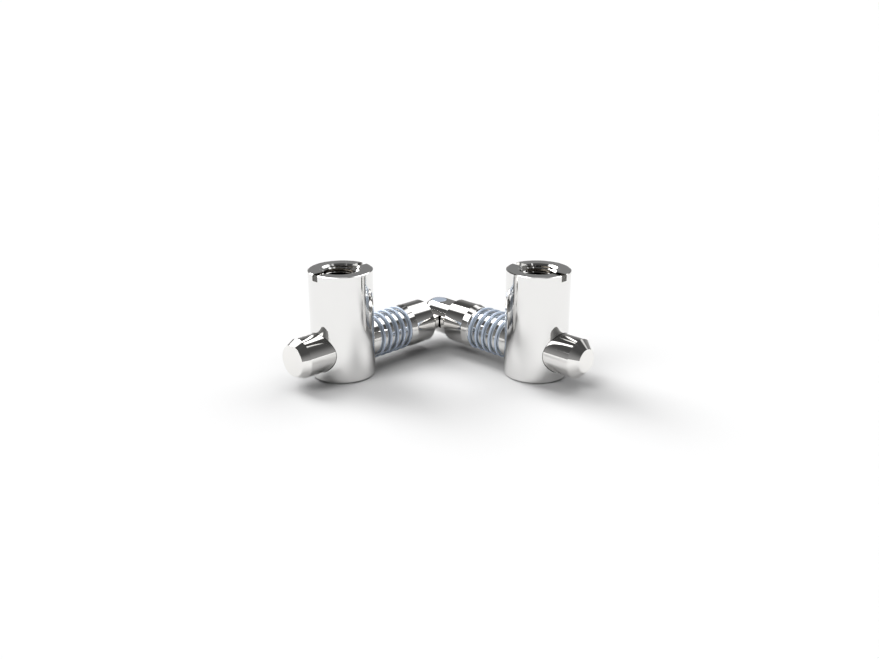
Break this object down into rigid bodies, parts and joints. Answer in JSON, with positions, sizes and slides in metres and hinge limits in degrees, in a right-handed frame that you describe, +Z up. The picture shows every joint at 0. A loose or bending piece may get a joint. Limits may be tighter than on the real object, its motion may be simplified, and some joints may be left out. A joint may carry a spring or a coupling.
{
  "type": "hinged panel connector",
  "caption": "Hinged panel connector: pivoted turned arms, each through a spring-loaded cross barrel whose set screw draws a panel tight at a chosen angle.",
  "frame": {"origin": "middle of the connector's plan at the height of the barrels' flat bases", "axes": "+Z up along the barrels and the pivot pin, +Y from the barrels towards the pivot, +X to the right-hand arm"},
  "size_m": [0.0758, 0.043, 0.0273],
  "materials": {
    "barrel_chrome": "polished nickel plate",
    "arm_chrome": "polished nickel plate",
    "pin_zinc": "blue zinc plate",
    "spring_zinc": "blue zinc plate",
    "screw_steel": "oiled dark steel"
  },
  "bodies": {
    "tongue_arm": {"tongue_rod": "arm_chrome", "left_spring": "spring_zinc"},
    "fork_arm": {"fork_rod": "arm_chrome", "pivot_pin": "pin_zinc", "right_spring": "spring_zinc"},
    "left_nut": {"left_barrel": "barrel_chrome"},
    "right_nut": {"right_barrel": "barrel_chrome"},
    "left_screw": {"left_set_screw": "screw_steel"},
    "right_screw": {"right_set_screw": "screw_steel"}
  },
  "joints": [
    {"name": "knuckle_hinge", "type": "hinge", "parent": "tongue_arm", "child": "fork_arm", "pos_m": [0.00035, 0.01677, 0.0074], "axis": [0, 0, 1], "range_deg": [-3.5, 183.5]},
    {"name": "left_barrel_slide", "type": "slide", "parent": "tongue_arm", "child": "left_nut", "axis": [0.7071, 0.7071, 0], "range_m": [0, 0.003], "stiffness_N_per_m": 315, "springref_m": -0.004, "deforming": ["left_spring"]},
    {"name": "right_barrel_slide", "type": "slide", "parent": "fork_arm", "child": "right_nut", "axis": [-0.7071, 0.7071, 0], "range_m": [0, 0.003], "stiffness_N_per_m": 315, "springref_m": -0.004, "deforming": ["right_spring"]},
    {"name": "left_screw_travel", "type": "slide", "parent": "left_nut", "child": "left_screw", "axis": [0, 0, 1], "range_m": [0, 0.01]},
    {"name": "right_screw_travel", "type": "slide", "parent": "right_nut", "child": "right_screw", "axis": [0, 0, 1], "range_m": [0, 0.01]}
  ]
}
